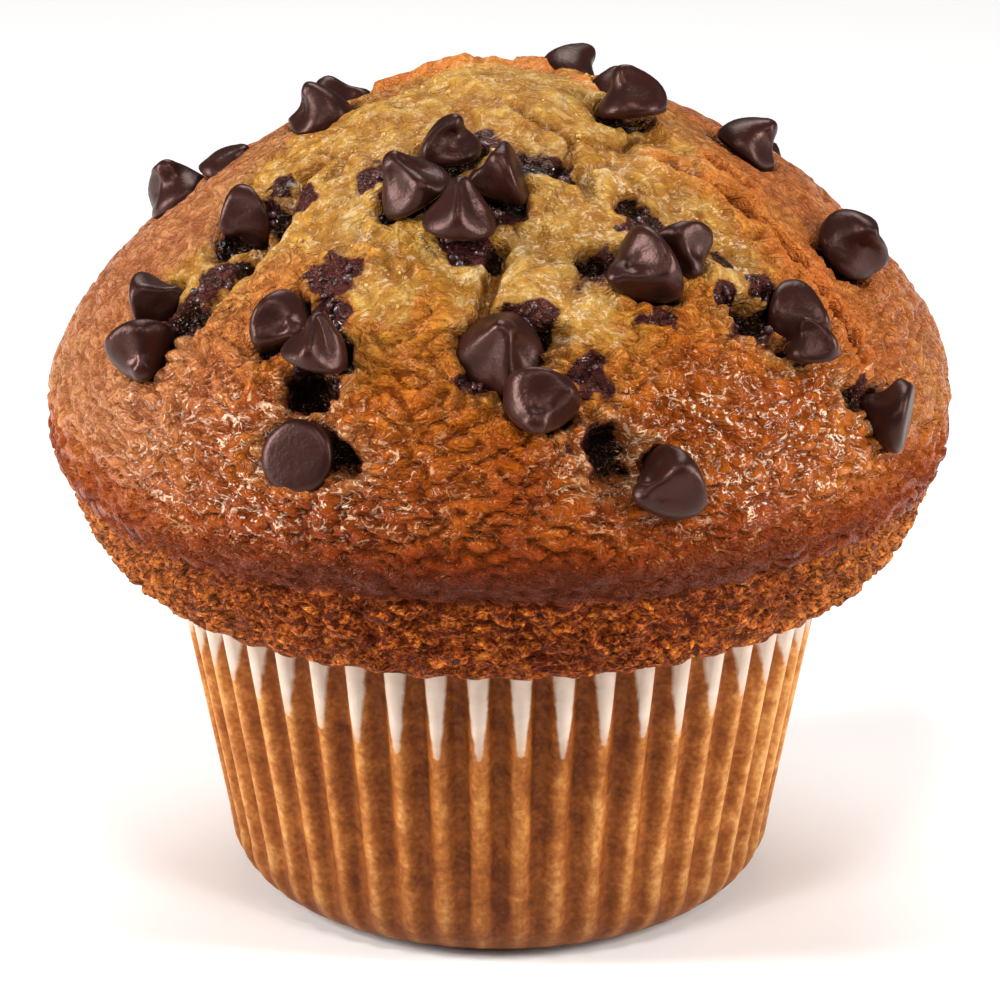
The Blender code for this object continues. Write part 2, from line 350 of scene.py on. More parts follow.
def cake_outline():
    """Rows of radius, height, lift and share of faces, from the middle of the crown to that of the foot.
    Lift is 90 on the crown, 0 at the widest place and -90 at the lip and below."""
    rows = [(*dome_row(lift), lift, 1.0) for lift in np.linspace(90, 0, 180)]
    for drop in np.linspace(2, 90, 60):
        fall = math.radians(drop)
        rows.append((LIP_RADIUS + (CAP_RADIUS - LIP_RADIUS) * math.cos(fall),
                     RIM_HEIGHT - (RIM_HEIGHT - LIP_HEIGHT) * math.sin(fall), -drop, UNDERSIDE_SHARE))
    for height in np.linspace(LIP_HEIGHT - FOOT_GAP, CORNER_RADIUS, 20):
        rows.append((wall_radius(height) - pleat_depth(height) - FOOT_GAP, height, -90, WALL_SHARE))
    bend = CORNER_RADIUS - FOOT_GAP
    for angle in np.linspace(80, 0, 9):
        turn = math.radians(angle)
        height = CORNER_RADIUS - bend * math.cos(turn)
        radius = wall_radius(CORNER_RADIUS) - CORNER_RADIUS + bend * math.sin(turn) - pleat_depth(height)
        rows.append((radius, height, -90, CORNER_SHARE))
    rows.append((0.0, FOOT_GAP, -90, BASE_SHARE))
    return np.array(rows)


outline = cake_outline()
print(len(outline), "rows of outline, widest", round(float(outline[:, 0].max()), 4))

# %% [markdown]
# ## The cake's mesh
# A torn surface needs small faces of even size everywhere. Turning the outline on a lathe would crowd them
# at the crown, so the mesh starts as a cube whose sides are cut into a fine grid. The cube is blown up to a
# ball, and the ball is wrapped round the outline so that every face keeps about the same area.

# %% Make the ball and wrap it round the outline
SIDE_FACES = 128


def cut_cube(name, cuts):
    """A cube whose sides are cut into a grid, as a mesh."""
    shape = bmesh.new()
    bmesh.ops.create_cube(shape, size=2.0)
    bmesh.ops.subdivide_edges(shape, edges=shape.edges[:], cuts=cuts, use_grid_fill=True)
    bmesh.ops.recalc_face_normals(shape, faces=shape.faces[:])
    return keep_mesh(shape, name)


def read_points(mesh):
    """The points of a mesh, as rows of x, y and z."""
    flat = np.empty(len(mesh.vertices) * 3, dtype=np.float32)
    mesh.vertices.foreach_get("co", flat)
    return flat.reshape(-1, 3).astype(np.float64)


def write_points(mesh, points):
    """Move the points of a mesh."""
    mesh.vertices.foreach_set("co", points.astype(np.float32).ravel())
    mesh.update()


def wrap(points, rows):
    """Wrap a ball round an outline. Gives each point's place, the way it faces, its lift and its azimuth."""
    ball = np.tan(points * math.pi / 4)
    ball /= np.linalg.norm(ball, axis=1, keepdims=True)
    share = (1 - ball[:, 2]) / 2
    steps = np.hypot(np.diff(rows[:, 0]), np.diff(rows[:, 1]))
    bands = steps * (rows[1:, 0] + rows[:-1, 0]) / 2 * rows[1:, 3]
    reach = np.concatenate(([0.0], np.cumsum(bands))) / bands.sum()
    radius, height, lift = (np.interp(share, reach, rows[:, column]) for column in range(3))
    along = np.gradient(rows[:, :2], axis=0)
    along /= np.linalg.norm(along, axis=1, keepdims=True)
    out, up = (np.interp(share, reach, values) for values in (-along[:, 1], along[:, 0]))
    turn = np.arctan2(ball[:, 0], -ball[:, 1])
    place = np.stack((radius * np.sin(turn), -radius * np.cos(turn), height), axis=1)
    facing = np.stack((out * np.sin(turn), -out * np.cos(turn), up), axis=1)
    facing /= np.linalg.norm(facing, axis=1, keepdims=True)
    return place, facing, lift, np.degrees(turn)


cake_mesh = cut_cube("cake", SIDE_FACES - 1)
place_0, facing, lift, azimuth = wrap(read_points(cake_mesh), outline)
print(len(cake_mesh.polygons), "faces of cake")

# %% [markdown]
# ## Where the crust has torn
# While it baked, the middle of the top rose last and broke the crust, so pale crumb shows there. The torn
# place is a union of round patches seen from above, each with its middle and radius in millimetres, and
# noise frays its edge. The same values later drive the relief and the colour, so that they agree.

# %% Masks over the cake
CRUMB_PATCHES = (
    (-6, -12, 17), (8, -14, 15), (0, -28, 11), (-14, -22, 9), (3, -36, 6), (17, -22, 9), (24, -25, 5),
    (-24, -20, 6), (-30, -22, 5), (-35, -20, 3.5), (0, 0, 12), (-14, -5, 10), (10, 0, 8), (-25, -10, 5),
    (9, -37, 4), (-12, -33, 4),
)


def smooth(low, high, value):
    """Go from 0 at low to 1 at high, without a corner at either end."""
    share = np.clip((value - low) / (high - low), 0.0, 1.0)
    return share * share * (3 - 2 * share)


def noise_at(points, length, shift=0.0):
    """Noise from -1 to 1, in lumps of about this length in metres."""
    rows = (points / length + shift).tolist()
    return np.array([noise.noise(row) for row in rows])


def patch_depth(points, patches):
    """How far inside the union of round patches each point is, seen from above, in millimetres."""
    flat = points[:, :2] / MM
    depths = [radius - np.hypot(flat[:, 0] - x, flat[:, 1] - y) for x, y, radius in patches]
    return np.max(depths, axis=0)


noise_broad = noise_at(place_0, 0.0070, 3.1)
noise_middle = noise_at(place_0, 0.0030, 5.7)
noise_fine = noise_at(place_0, 0.0014, 9.3)


def fray(middle, fine):
    """Noise that frays an edge, of middling lumps and fine ones."""
    return middle * noise_middle + fine * noise_fine


off_front = np.abs(azimuth)
height_0 = place_0[:, 2]
on_dome = smooth(5, 20, lift)
torn_depth = patch_depth(place_0, CRUMB_PATCHES) + 2.4 * noise_broad + fray(1.8, 0.8)
torn = smooth(-0.5, 0.7, torn_depth) * on_dome
above_edge = (height_0 - CRUST_EDGE_HEIGHT) / MM + 0.7 * noise_middle
under = smooth(0.4, -0.4, above_edge)
print("torn share", round(float(torn.mean()), 3), "underside share", round(float(under.mean()), 3))

# %% [markdown]
# ## Reading the chips
# Each chip's solid says where it lies and which way it leans. Its flat base is the largest group of faces
# that point one way. The axis stands on the middle of that base, and the point furthest from it is the bent
# tip.

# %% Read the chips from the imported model
MERGE = 1e-6
CHIP_OUTLINE = (
    (0.000, 0.00), (0.000, 0.45), (0.004, 0.76), (0.020, 0.88), (0.055, 0.96), (0.105, 1.00), (0.17, 1.00),
    (0.25, 0.975), (0.34, 0.91), (0.43, 0.82), (0.52, 0.715), (0.61, 0.605), (0.69, 0.505), (0.77, 0.41),
    (0.84, 0.36), (0.90, 0.31), (0.945, 0.26), (0.975, 0.20), (0.993, 0.11), (1.000, 0.00),
)


def read_chip(node):
    """The middle of a chip's base, its axis, the side its tip bends to, its radius and its height."""
    shape = bmesh.new()
    shape.from_mesh(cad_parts[node].data)
    bmesh.ops.remove_doubles(shape, verts=shape.verts[:], dist=MERGE)
    groups = {}
    for face in shape.faces:
        key = tuple(round(value, 2) for value in face.normal)
        groups.setdefault(key, []).append(face)
    base = max(groups.values(), key=lambda faces: sum(face.calc_area() for face in faces))
    area = sum(face.calc_area() for face in base)
    middle = sum((face.calc_center_median() * face.calc_area() for face in base), Vector()) / area
    axis = -sum((face.normal * face.calc_area() for face in base), Vector()).normalized()
    offsets = [vert.co - middle for vert in shape.verts]
    shape.free()
    tip = max(offsets, key=axis.dot)
    height = axis.dot(tip)
    radius = max((offset - axis.dot(offset) * axis).length for offset in offsets
                 if axis.dot(offset) < height * 0.2)
    side = tip - height * axis
    return middle, axis, side.normalized(), radius, height


chips = {node: read_chip(node) for node in chip_nodes}
sizes = [chip[3] for chip in chips.values()]
print("chip radii from", round(min(sizes), 5), "to", round(max(sizes), 5))

# %% [markdown]
# ## How the chips press into the cake
# Batter shrinks back from a chip as it bakes, so each chip stands in a shallow ragged moat. For each point
# of the cake this finds how far it is from the nearest chip, and it is negative inside one.

# %% Distance from the nearest chip
REACH = 14 * MM
TIP_LEAN = 0.45


def chip_distance(points):
    """Each point's distance from the surface of the nearest chip, in metres."""
    nearest = np.full(len(points), 1.0)
    heights, radii = np.array(CHIP_OUTLINE).T
    for middle, axis, side, radius, height in chips.values():
        offset = points - np.array(middle)
        close = np.linalg.norm(offset, axis=1) < REACH
        along = offset[close] @ np.array(axis)
        share = np.clip(along / height, 0.0, 1.0)
        centre = np.outer(along, axis) + np.outer(TIP_LEAN * radius * share ** 3, side)
        across = np.linalg.norm(offset[close] - centre, axis=1)
        beyond = np.maximum(np.maximum(-along, along - height), 0.0)
        gap = across - radius * np.interp(share, heights[1:], radii[1:])
        distance = np.where(beyond > 0, np.hypot(np.maximum(gap, 0.0), beyond), gap)
        nearest[close] = np.minimum(nearest[close], distance)
    return nearest


chip_gap = chip_distance(place_0)
chip_gap_mm = chip_gap / MM
print("points within a millimetre of a chip:", int((chip_gap_mm < 1).sum()))

# %% [markdown]
# ## Melted chocolate, hollows and tears
# Some chips melted into the crumb and left stains or hollows. These are given by azimuth and lift on the
# dome and a radius in millimetres, and a hollow has a depth too. Tears, ragged tears and raised flaps of
# crust are lines seen from above in millimetres, with a depth and a half-width, or with a rise. Pits have a
# middle, a radius and a depth.

# %% Places on the dome
MELTS = (
    (-8, 71, 2.4), (15, 64, 2.6), (-6, 50, 2.6), (-37, 59, 1.8), (33, 53, 2.6), (19, 46, 2.4),
    (48, 38, 1.9), (40, 39, 1.6), (-30, 42, 2.6), (5, 38, 2.6), (13, 29, 2.3), (55, 17, 1.6),
    (-54, 31, 2.4), (-54, 39, 2.2), (-55, 49, 2.0), (-50, 53, 2.0), (-27, 26, 2.6), (-20, 14, 2.0),
    (13, 19, 2.4), (14, 12, 2.3), (42, 34, 2.6), (9, 65, 2.0), (3, 56, 1.8), (-27, 36, 2.0),
    (-62, 54, 1.6), (26, 37, 1.6), (-4, 30, 1.4), (45, 44, 1.6),
)
HOLLOWS = (
    (-27, 25, 2.9, 3.4), (-20, 14, 2.4, 3.2), (14, 18, 2.9, 3.2), (14, 11, 2.6, 3.2), (42, 35, 2.8, 3.4),
    (8, 36, 2.2, 2.0), (18, 47, 2.0, 1.8), (-54, 31, 2.2, 2.0), (53, 17, 1.8, 2.2), (150, 28, 2.9, 3.2),
    (-25, 33, 1.6, 1.8), (33, 56, 1.8, 1.2),
)
TEARS = (
    (((0, -31), (-1, -35), (-2, -39)), 2.2, 1.7),
    (((0, -5), (3, -9), (8, -12.5), (14, -11.5), (15.5, -7.5)), 1.2, 0.9),
    (((8, -12.5), (8, -16.5), (6, -20)), 1.3, 0.9),
    (((14, -11), (17, -13), (22, -12)), 0.9, 0.8),
    (((-33, -27), (-29, -24), (-25, -20), (-22, -13)), 1.8, 1.8),
    (((-20, -9), (-17, -13), (-19, -17)), 1.0, 0.9),
    (((10, -24), (9, -19), (12, -16)), 0.9, 1.3),
    (((31, -26), (27, -29), (22, -33)), 1.0, 1.3),
    (((-12, -3), (-6, 0), (1, 1)), 0.9, 0.8),
)
RAGGED_TEARS = (
    (((18, -12.5), (22, -13.5), (27, -15.5), (30.5, -17)), 2.2, 1.1),
    (((31.5, -18), (34.5, -20), (37, -21.5), (40, -25)), 2.2, 1.1),
    (((24.5, -9.5), (28, -11)), 1.1, 0.8),
)
FLAPS = (
    (((-14, 8.0), (-10, 9.2), (-4, 9.2)), 1.3), (((-1, 9.6), (5, 9.4)), 1.0), (((10, 5), (13, 2)), 0.7),
)
PITS = (
    (24.5, -9.5, 0.9, 1.3), (26.0, -16.0, 0.9, 1.4), (28.8, -19.0, 1.0, 1.5), (31.5, -17.5, 0.9, 1.4),
    (33.5, -21.5, 0.9, 1.3), (37.0, -20.0, 0.8, 1.2), (29.5, -12.0, 0.8, 1.1), (39.0, -24.0, 0.8, 1.2),
    (41.5, -22.0, 0.8, 1.3), (15.2, -8.5, 1.1, 1.8), (34.0, -27.0, 0.8, 1.1), (22.0, -11.5, 0.8, 1.1),
    (-30.0, -14.0, 0.8, 1.0), (-20.5, -12.0, 0.8, 1.1), (-42.0, -24.0, 0.7, 0.9), (-12.5, 3.0, 0.9, 1.1),
)


def dome_place(azimuth_angle, lift_angle):
    """The point of the plain dome at an azimuth and a lift."""
    radius, height = dome_row(lift_angle)
    spot = radius * direction(azimuth_angle)
    spot.z = height
    return np.array(spot)


def spots(points, places, wobble):
    """The deepest of a list of round places at each point, from its depth in the middle to 0 outside."""
    deepest = np.zeros(len(points))
    for azimuth_angle, lift_angle, radius, depth in places:
        away = np.linalg.norm(points - dome_place(azimuth_angle, lift_angle), axis=1) / MM
        share = 1 - (away + wobble) / radius
        deepest = np.maximum(deepest, smooth(-0.15, 0.45, share) * depth)
    return deepest


def widened(places, factor):
    """The same round places made wider, with a depth of 1."""
    return [(place[0], place[1], place[2] * factor, 1.0) for place in places]


def line_distance(points, corners):
    """Each point's distance from a line with corners, seen from above, in millimetres."""
    flat = points[:, :2] / MM
    nearest = np.full(len(points), 99.0)
    for start, end in zip(corners, corners[1:]):
        start, run = np.array(start), np.array(end) - np.array(start)
        share = np.clip((flat - start) @ run / (run @ run), 0.0, 1.0)
        nearest = np.minimum(nearest, np.linalg.norm(flat - start - share[:, None] * run, axis=1))
    return nearest


print(len(MELTS), "stains,", len(HOLLOWS), "hollows,", len(TEARS + RAGGED_TEARS), "tears,", len(PITS), "pits")

# %% [markdown]
# ## Chocolate in the crumb
# Three things darken the cake: the stains, a smear close to some of the chips, and the line where a chip
# touches the cake. Round each chip and hollow the crust has drawn back, and a pale ring of crumb shows.

# %% Masks of the chocolate
wobble = fray(0.7, 0.5)
seen_side = smooth(70, 55, off_front)
melt = spots(place_0, widened(MELTS, 1.3), 2.3 * wobble)
smear = smooth(2.3, 0.4, chip_gap_mm + fray(1.8, 1.1))
smear *= smooth(0.05, 0.35, noise_at(place_0, 0.0065, 31.0)) * smooth(22, 34, lift) * seen_side
melt = np.maximum(melt, 0.9 * smear)
near_chip = smooth(1.1, -0.2, chip_gap_mm + fray(0.5, 0.9))
melt = np.maximum(melt, near_chip * 0.85) * on_dome
hollow = spots(place_0, HOLLOWS, 0.6 * wobble) * on_dome
halo = smooth(2.3, 0.8, chip_gap_mm + fray(1.5, 0.8))
halo = np.maximum(halo, spots(place_0, widened(HOLLOWS, 1.7), 2.2 * wobble))
halo *= (1 - melt) * (1 - torn) * smooth(4, 12, lift) * smooth(52, 40, lift) * seen_side
print("melted", round(float((melt > 0.5).mean()), 4), "pale rings", round(float((halo > 0.5).mean()), 4))

# %% [markdown]
# ## The relief of the cake
# The height of each point is a sum of small steps in millimetres, and every step is one thing that a baker
# would name, such as the slow lumps of the risen dome or the wrinkles of the crust. Points move along the
# way the plain form faces, so nothing folds over itself. Most steps use one pattern, which is noise without
# its sign: it is 0 along winding creases and 1 on the pads between them.

# %% Patterns for the relief
def pad_pattern(points, length, shift, high, low=0.0):
    """Pads of about this length, at 1, with winding creases between them, at 0."""
    return smooth(low, high, np.abs(noise_at(points, length, shift)))


drift = np.stack([noise_at(place_0, 0.0042, shift) for shift in (13.0, 17.0, 19.0)], axis=1) * MM
bent = place_0 + drift
squashed = bent * np.array((1.0, 1.0, 1.7))
lumps = pad_pattern(bent, 0.0062, 1.7, 0.42)
small_lumps = pad_pattern(bent, 0.0028, 4.2, 0.40)
broad_pads = pad_pattern(bent, 0.0050, 2.3, 0.36)
pads = pad_pattern(bent * np.array((1.0, 1.0, 1.9)), 0.0025, 6.1, 0.30)
cells = pad_pattern(squashed, 0.0038, 8.8, 0.34, 0.02)
small_cells = pad_pattern(squashed, 0.0021, 3.3, 0.34, 0.02)
speck = noise_at(place_0, 0.0009, 7.7)
print("share of the crust in creases", round(float((pads < 0.3).mean()), 3))

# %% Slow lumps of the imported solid
LUMP_LENGTH, LUMP_HEIGHT = 0.024, 0.0009
CROWN_LUMP_LENGTH, CROWN_LUMP_HEIGHT = 0.011, 0.0008
CROWN_START_LIFT, CROWN_FADE, CROWN_SHIFT = 38, 0.006, np.array((7.0, 3.0, 1.0))
EDGE_ROLL, EDGE_FADE = 0.0005, 0.003


def swell():
    """The slow lumps and the rolled edge of the crust, in metres."""
    crown_height = dome_row(CROWN_START_LIFT)[1]
    on_cap = smooth(LIP_HEIGHT, CRUST_EDGE_HEIGHT, height_0)
    on_crown = smooth(crown_height - CROWN_FADE, crown_height + CROWN_FADE, height_0)
    near_edge = 1 - smooth(0.0, EDGE_FADE, np.abs(height_0 - CRUST_EDGE_HEIGHT - EDGE_FADE))
    slow_lumps = on_cap * LUMP_HEIGHT * noise_at(place_0, LUMP_LENGTH)
    slow_lumps += on_crown * CROWN_LUMP_HEIGHT * noise_at(place_0, CROWN_LUMP_LENGTH, CROWN_SHIFT)
    return slow_lumps + EDGE_ROLL * near_edge


swollen = swell()
print("slow lumps up to", round(float(swollen.max() / MM), 2), "mm")

# %% [markdown]
# ## Crumb and crust
# Torn crumb gets big lumps with deep creases. The crust lies a little higher, so its torn edge shows. It
# dried to a skin that wrinkles on the shoulders, less at the far sides and along the band below the widest
# place.

# %% Relief of crumb and crust
crust = (1 - torn) * (1 - under) * smooth(LIP_HEIGHT, LIP_HEIGHT + 0.002, height_0)
band = smooth(-9, -15, lift + 4 * noise_middle) * (1 - under) * (1 - 0.8 * smooth(15, 50, off_front))
wrinkled = smooth(62, 22, lift) * crust * (1 - 0.5 * band)
behind = smooth(98, 128, off_front)
calm = 1 - 0.65 * smooth(40, 72, off_front) * smooth(-4, 8, lift) * (1 - behind)
tear_lines = smooth(0.05, 0.45, noise_at(place_0, 0.0130, 21.0))

relief = torn * (0.95 * tear_lines * (lumps - 1.0) + 0.22 * (small_lumps - 0.7) + 0.75 * noise_broad)
relief += torn * (fray(0.36, 0.20) + 0.12 * speck)
relief += 0.55 * smooth(-2.6, -0.2, torn_depth) * crust * on_dome
relief += crust * (0.20 * (broad_pads - 0.6) + 0.16 * noise_middle)
relief += wrinkled * calm * (0.95 * (pads - 0.6) + 0.16 * noise_fine)
relief -= 0.30 * crust * smooth(0.42, 0.60, noise_at(place_0, 0.0019, 11.5))
print("relief from", round(float(relief.min()), 2), "to", round(float(relief.max()), 2), "mm")

# %% [markdown]
# ## Tears, flaps and pits
# A tear is a groove along a line. A ragged tear has a raised lip on each side as well, where the crust
# lifted as it parted, and a flap is a lip alone. Noise added to the distance from the line frays them all.

# %% Relief of tears, flaps and pits
LIFTED_LIP = 0.7
ragged = np.zeros(len(place_0))
for corners, depth, width in TEARS:
    away = line_distance(place_0, corners) + fray(0.55, 0.35)
    relief -= depth * smooth(width, 0.0, away) * on_dome
for corners, depth, width in RAGGED_TEARS:
    away = line_distance(place_0, corners) + fray(1.3, 0.8)
    lifted = LIFTED_LIP * smooth(width + 2.4, width + 0.6, away)
    relief += on_dome * (lifted - (depth + LIFTED_LIP) * smooth(width + 0.2, 0.2, away))
    ragged = np.maximum(ragged, smooth(width + 2.6, width * 0.5, away))
for corners, rise in FLAPS:
    away = line_distance(place_0, corners) + fray(0.9, 0.5)
    relief += rise * smooth(1.7, 0.7, away) * on_dome
    ragged = np.maximum(ragged, smooth(2.4, 1.0, away))
for x, y, radius, depth in PITS:
    away = np.hypot(place_0[:, 0] / MM - x, place_0[:, 1] / MM - y) + fray(0.3, 0.5)
    relief -= depth * smooth(radius, 0.0, away) * on_dome
print("ragged share", round(float((ragged > 0.5).mean()), 4))

# %% [markdown]
# ## Moats and the open underside
# The cake sinks where chocolate melted, in the hollows, and beside and under each chip. The underside never
# formed a crust: it is all open pores, broad ones with small ones between them.

# %% Relief of the moats and the underside
relief -= hollow
relief -= 0.30 * melt * (1 + fray(1.0, 0.6))
relief -= 1.25 * smooth(1.5, -0.1, chip_gap_mm + 0.5 * noise_fine) * on_dome
relief -= 1.2 * smooth(0.0, -1.5, chip_gap_mm) * on_dome
open_side = under * smooth(LIP_HEIGHT - 0.0002, LIP_HEIGHT + 0.0020, height_0)
relief += open_side * (0.60 * (cells - 0.7) + 0.95 * (small_cells - 0.7) + 0.20 * noise_fine - 0.25)
print("relief from", round(float(relief.min()), 2), "to", round(float(relief.max()), 2), "mm")

# %% Move the points
# Between two pleats the lip of the cake hangs a little into the gap.
LIP_SAG = 0.0004
in_pleat = 0.5 + 0.5 * np.cos(PLEATS * np.radians(azimuth))
lip_band = smooth(LIP_HEIGHT + 0.003, LIP_HEIGHT + 0.0002, height_0) * (lift > -89.9)
place_1 = place_0 + facing * (swollen + relief * MM)[:, None]
place_1[:, 2] -= lip_band * LIP_SAG * (1 - in_pleat)
write_points(cake_mesh, place_1)
print("cake from", place_1.min(axis=0).round(4), "to", place_1.max(axis=0).round(4))

# %% [markdown]
# ## Masks for the material
# The values that shaped the cake are painted on its points, so that the material can read them. One mask says
# how dark the crust is baked, from the lip up to the crown, and also holds painted light that makes it
# lighter low on the sides. Tan is a painted sheen at the far sides. Gloss lies on the shoulders, in front and
# behind, glint is where painted highlights may show, and heart is the middle of the torn crumb. The masks of
# creases and deep places are painted shade, and side is painted light on the sides of the underside.

# %% Keep the masks
LIFT_STEPS = (-90, -60, -27, -18, -8, 0, 10, 25, 40, 60, 90)
BAKE_STEPS = (0.80, 0.86, 0.96, 0.97, 0.81, 0.66, 0.59, 0.55, 0.50, 0.44, 0.42)


def shine(turned, narrow, middle_lift, reach):
    """A round patch of the dome, 1 in its middle and 0 past its reach, all in degrees."""
    return smooth(reach, 8, np.hypot(turned * narrow, lift - middle_lift))


gloss = np.maximum(shine(azimuth + 36, 0.6, 8, 26), shine(azimuth - 35, 0.6, 12, 26))
gloss = np.maximum(gloss, 0.8 * shine(off_front - 143, 0.5, 12, 30))
gloss = np.maximum(gloss, 0.15 * smooth(46, 24, lift) * smooth(-12, 0, lift)) * crust

bake_and_side_light = np.interp(lift, LIFT_STEPS, BAKE_STEPS)
bake_and_side_light -= 0.24 * smooth(-9.0, 0.0, torn_depth) * (1 - torn) * on_dome
bake_and_side_light += 0.10 * noise_broad + 0.06 * noise_middle
# Low on the sides the crust is painted lighter, as painted light from the side lamps.
bake_and_side_light -= 0.20 * smooth(20, 65, off_front) * smooth(30, 5, lift)
bake_and_side_light += 0.06 * gloss

# Tan is a painted sheen: a pale pinkish reflection of the side lamps on the far sides, weaker behind and on
# the right.
right_side = smooth(30, 62, azimuth) * smooth(150, 110, azimuth)
tan = smooth(36, 72, np.abs(azimuth - 9)) * (1 - 0.7 * behind) * (1 - 0.55 * right_side)
tan *= smooth(-12, 10, lift) * smooth(78, 60, lift) * (1 - torn)

# Glint says where painted highlights lie: more in gloss, down to just below the widest place and lower on the
# shoulders, less on the tan sheen and near the top.
low_shoulder = 9 * smooth(28, 8, np.abs(off_front - 34))
glint = 0.48 + 0.52 * gloss
glint *= (1 - 0.7 * tan) * smooth(-11, 1, lift + low_shoulder) * (1 - 0.4 * smooth(55, 70, lift))

# Painted shade in the creases of crumb, crust and underside.
crease_shade = torn * (1 - small_lumps) * 0.50 + crust * (1 - pads) * 0.8
crease_shade += open_side * np.maximum(1 - cells, 0.8 * (1 - small_cells))
# In these masks tan is a painted sheen, crease and cavity are painted shade, side is painted light and glint
# is where painted highlights lie.
masks = {
    "bake_and_side_light": bake_and_side_light, "torn": torn, "melt": melt, "tan": tan, "gloss": gloss, "under": under,
    "cavity_shade": np.clip(-(relief - 0.2) / 1.6, 0.0, 1.0), "crease_shade": crease_shade,
    "heart": smooth(0.0, 8.0, torn_depth), "glint": glint, "ragged": ragged, "band": band, "halo": halo,
    "side": smooth(20, 75, off_front),
}
for name, values in masks.items():
    layer = cake_mesh.attributes.new(name, "FLOAT", "POINT")
    layer.data.foreach_set("value", np.clip(values, 0.0, 1.0).astype(np.float32))
print("masks kept:", list(masks))

# %% [markdown]
# ## Colour of crust and crumb
# Baking turns one dough into many colours: pale crumb where the crust has torn, gold beside it, orange-brown
# on the shoulders, and a darker band below the widest place, strongest in front. So one ramp runs from pale
# to dark, the baking mask says where on the ramp a place is, and noise mottles it; low on the sides that mask
# also holds painted light. Tan lays a painted sheen over the far sides. The crumb has a paler ramp of its
# own, and it is painted lighter towards the front as painted light.

# %% Crust and crumb
cake_finish, tree, shader, place = new_material("cake")
mask = {name: add(tree, "ShaderNodeAttribute", attribute_name=name).outputs["Fac"] for name in masks}
flecks = grain(place, 0.0011, 4.0, 0.8, 0.6)
bake_and_light_value = plus(mask["bake_and_side_light"], swing(grain(place, 0.0060, 3.0), 0.55), swing(flecks, 0.60))
crust_colour = ramp(bake_and_light_value, (0.05, 228, 178, 92), (0.28, 214, 146, 50), (0.46, 202, 112, 25),
                    (0.62, 174, 82, 13), (0.78, 140, 50, 5), (0.90, 98, 31, 7), (1.00, 72, 24, 14))
# The crumb is painted lighter towards the front, as painted light.
painted_light_y = add(tree, "ShaderNodeSeparateXYZ", ("Vector", place)).outputs["Y"]
crumb_value = plus(times(grain(place, 0.0045, 2.0), 0.9), times(flecks, 0.8), -0.45,
                   times(mask["heart"], 0.06), remap(painted_light_y, -0.012, -0.030, 0.0, 0.07))
crumb_colour = ramp(crumb_value, (0.26, 160, 106, 36), (0.42, 192, 140, 56), (0.56, 208, 164, 80),
                    (0.75, 232, 202, 136))
# The far sides get the painted sheen of tan.
colour = mix(times(mask["tan"], 0.60), crust_colour, (210, 154, 112))
colour = mix(mask["torn"], colour, crumb_colour)
ring_share = times(mask["halo"], remap(flecks, 0.40, 0.60, 0.20, 0.75))
colour = mix(ring_share, colour, (214, 174, 112))
print("crust and crumb:", len(tree.nodes), "nodes")

# %% [markdown]
# ## Cracks, creases and shade
# Fine cracks run between small plates of skin. They are finer than the mesh, so they are drawn here in
# painted shade and cut by a bump below. Creases and deep places get painted shade from their masks, ragged
# tears are painted reddish orange with painted shade in their deep places, and the band below the widest
# place is darkened by its mask.

# %% Cracks and shade
flat_place = stretched(place, 1.0, 1.0, 1.5)
plates, small_plates = crackle(flat_place, 0.0030, 1.4), crackle(flat_place, 0.0013, 1.2)
plate_value = plus(times(plates, 0.62), times(small_plates, 0.38))
crust_value = minus(1.0, mask["torn"])
crack_shade = times(minus(1.0, plate_value), between(crust_value, 0.50, 0.78),
                    between(mask["band"], 1.0, 0.4))
# Creases and deep places get painted shade.
colour = mix(times(mask["crease_shade"], 0.65), colour, (96, 36, 8))
colour = mix(crack_shade, colour, mix(crust_value, (150, 94, 34), (120, 46, 10)))
colour = mix(times(mask["cavity_shade"], 0.60), colour, (96, 40, 14))
# Ragged tears are reddish orange, painted darker in their deep places as painted shade.
ragged_colour = mix(remap(mask["cavity_shade"], 0.1, 0.6), (204, 110, 46), (104, 34, 10))
colour = mix(times(mask["ragged"], 0.6), colour, ragged_colour)
# The band below the widest place is darker, most of all in front.
colour = mix(times(mask["band"], 0.6), colour, (78, 25, 15))
print("with cracks and shade:", len(tree.nodes), "nodes")

# %% [markdown]
# ## The open underside
# Under the rim the pores are painted dark as painted shade, and the crumbs between them catch the light. This
# colour comes after the cracks, which would hide its contrast. The same pattern, dropped a little, gives
# painted highlights on the tops of the crumbs. The sides are painted lighter as painted light, and the
# creases get painted shade.

# %% Underside
low_place = stretched(place, 1.0, 1.0, 1.4)
pores = plus(times(crackle(low_place, 0.0030, 1.8), 0.55), times(crackle(low_place, 0.0014, 1.4), 0.45))
under_value = plus(times(pores, 0.62), times(flecks, 1.3), -0.48)
under_colour = ramp(under_value, (0.20, 48, 13, 6), (0.38, 120, 44, 12), (0.58, 172, 78, 21),
                    (0.76, 216, 124, 36), (0.90, 238, 162, 68))
# The sides of the underside are painted lighter, as painted light.
under_colour = mix(times(mask["side"], 0.5), under_colour, (222, 138, 66))
# The pores are painted darker still, as painted shade.
under_colour = mix(remap(pores, 0.44, 0.20, 0.0, 0.9), under_colour, (70, 22, 10))
# Painted highlights on the tops of the crumbs, just below the pores.
below = crackle(stretched(place, 1.0, 1.0, 1.4, 0.00040), 0.0014, 1.4)
painted_crumb_highlights = times(remap(below, 0.34, 0.12), remap(flecks, 0.46, 0.58, 0.0, 0.65))
under_colour = mix(painted_crumb_highlights, under_colour, (216, 112, 46))
# The creases of the underside get painted shade.
under_colour = mix(times(mask["crease_shade"], 0.55), under_colour, (94, 32, 15))
colour = mix(mask["under"], colour, under_colour)
print("with the underside:", len(tree.nodes), "nodes")

